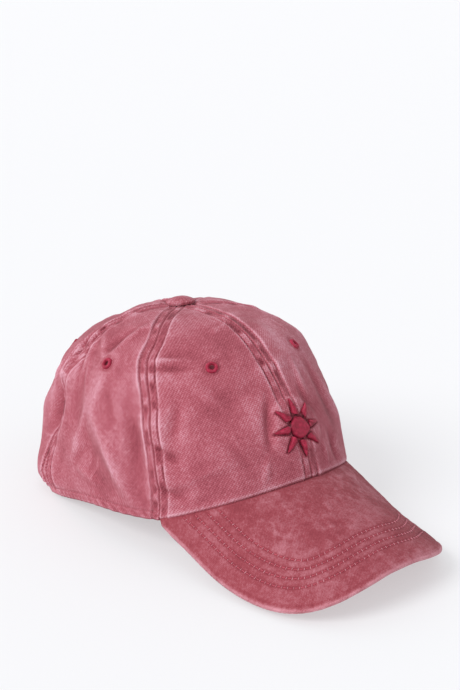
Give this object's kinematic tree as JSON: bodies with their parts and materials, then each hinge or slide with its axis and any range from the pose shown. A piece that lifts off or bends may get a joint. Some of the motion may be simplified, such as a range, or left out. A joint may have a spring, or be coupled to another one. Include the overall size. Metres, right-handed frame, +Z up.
{
  "type": "baseball cap",
  "caption": "Soft panelled cotton cap with a curved stitched brim, embroidered vents, a sweatband and a rear strap with a clamp buckle.",
  "frame": {"origin": "bottom centre of the bounding box, on the surface the cap rests on", "axes": "+Z up, -Y to the front along the brim, +X to the wearer's left"},
  "size_m": [0.1632, 0.2914, 0.128],
  "materials": {
    "washed_twill": "pigment-dyed washed cotton twill, dusty burgundy",
    "crimson_thread": "glossy embroidery thread",
    "tape_cotton": "plain cotton tape",
    "band_cotton": "soft cotton band",
    "foam_padding": "thin padding strip",
    "label_satin": "blank woven label",
    "brim_board": "flexible polyethylene board",
    "pressed_steel": "plated pressed steel",
    "aged_brass": "antique brass",
    "stabiliser": "non-woven backing"
  },
  "bodies": {
    "cap": {"front_panel_left": "washed_twill", "front_panel_right": "washed_twill", "side_panel_left": "washed_twill", "side_panel_right": "washed_twill", "rear_panel_left": "washed_twill", "rear_panel_right": "washed_twill", "brim_upper_cover": "washed_twill", "brim_lower_cover": "washed_twill", "button_cover": "washed_twill", "buckle_tab": "washed_twill", "front_eyelet_left": "crimson_thread", "front_eyelet_right": "crimson_thread", "side_eyelet_left": "crimson_thread", "side_eyelet_right": "crimson_thread", "rear_eyelet_left": "crimson_thread", "rear_eyelet_right": "crimson_thread", "front_emblem": "crimson_thread", "seam_tape_centre": "tape_cotton", "seam_tape_diagonal_a": "tape_cotton", "seam_tape_diagonal_b": "tape_cotton", "rear_arch_binding": "tape_cotton", "sweatband": "band_cotton", "sweatband_padding": "foam_padding", "inner_label": "label_satin", "brim_board": "brim_board", "button_shell": "pressed_steel", "button_rivet": "pressed_steel", "buckle_frame": "aged_brass", "buckle_pin": "aged_brass", "emblem_backing": "stabiliser"},
    "strap": {"rear_strap": "washed_twill"},
    "lever": {"buckle_lever": "aged_brass"}
  },
  "joints": [
    {"name": "strap_adjust", "type": "hinge", "parent": "cap", "child": "strap", "pos_m": [0, 0.05809, 0.02481], "axis": [0, 0.1587, 0.9873], "range_deg": [-10, 10]},
    {"name": "lever_swing", "type": "hinge", "parent": "cap", "child": "lever", "pos_m": [-0.01116, 0.1365, 0.01221], "axis": [0, -0.1587, -0.9873], "range_deg": [0, 95]}
  ]
}
